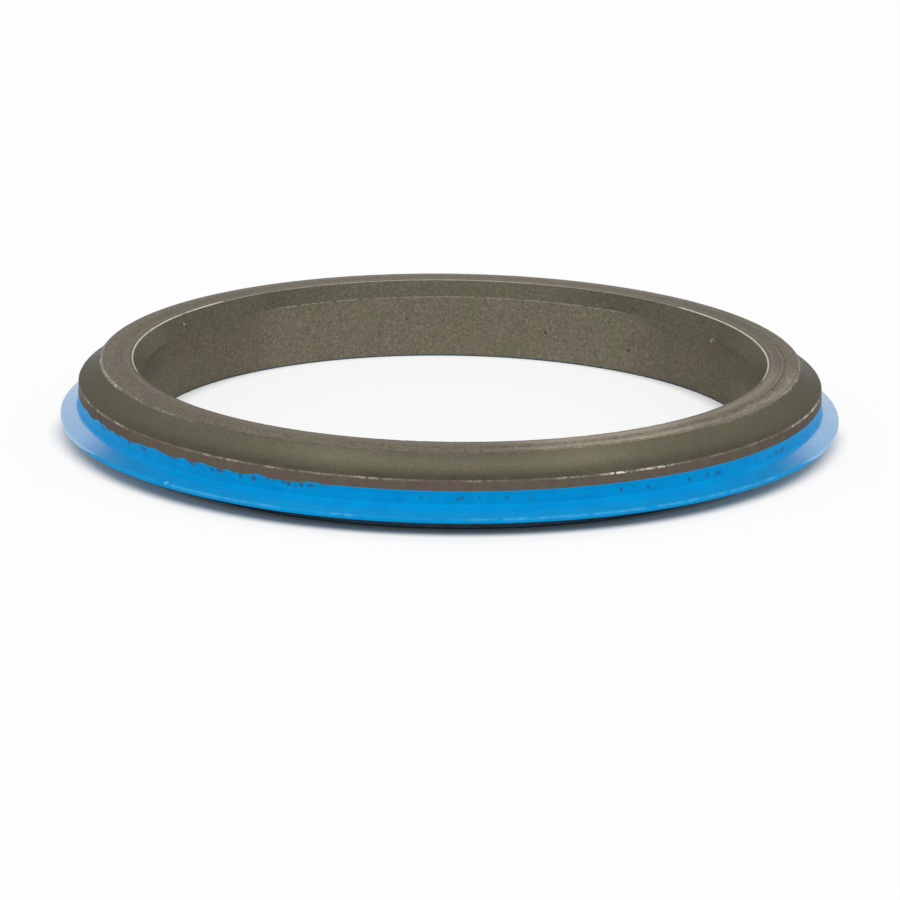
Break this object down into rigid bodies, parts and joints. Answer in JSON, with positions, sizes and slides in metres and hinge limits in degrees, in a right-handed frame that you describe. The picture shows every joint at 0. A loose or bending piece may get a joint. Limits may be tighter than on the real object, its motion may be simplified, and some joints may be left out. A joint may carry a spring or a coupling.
{
  "type": "sealing ring",
  "caption": "Turned steel sealing ring with a smooth bore, a conical upper side and a thin blue moulded lip that flares out round its lower edge.",
  "frame": {"origin": "centre of the ring's flat base, on the axis", "axes": "+Z along the ring's axis, from the flat base towards the cone side; X and Y lie in the base plane"},
  "size_m": [0.121, 0.121, 0.0125],
  "materials": {
    "dark_steel": "turned steel with a dark olive-brown treated skin, satin, worn bright along its edges",
    "blue_lip": "bright blue moulded elastomer, satin"
  },
  "bodies": {
    "root": {"steel_ring": "dark_steel", "sealing_lip": "blue_lip"}
  },
  "joints": []
}
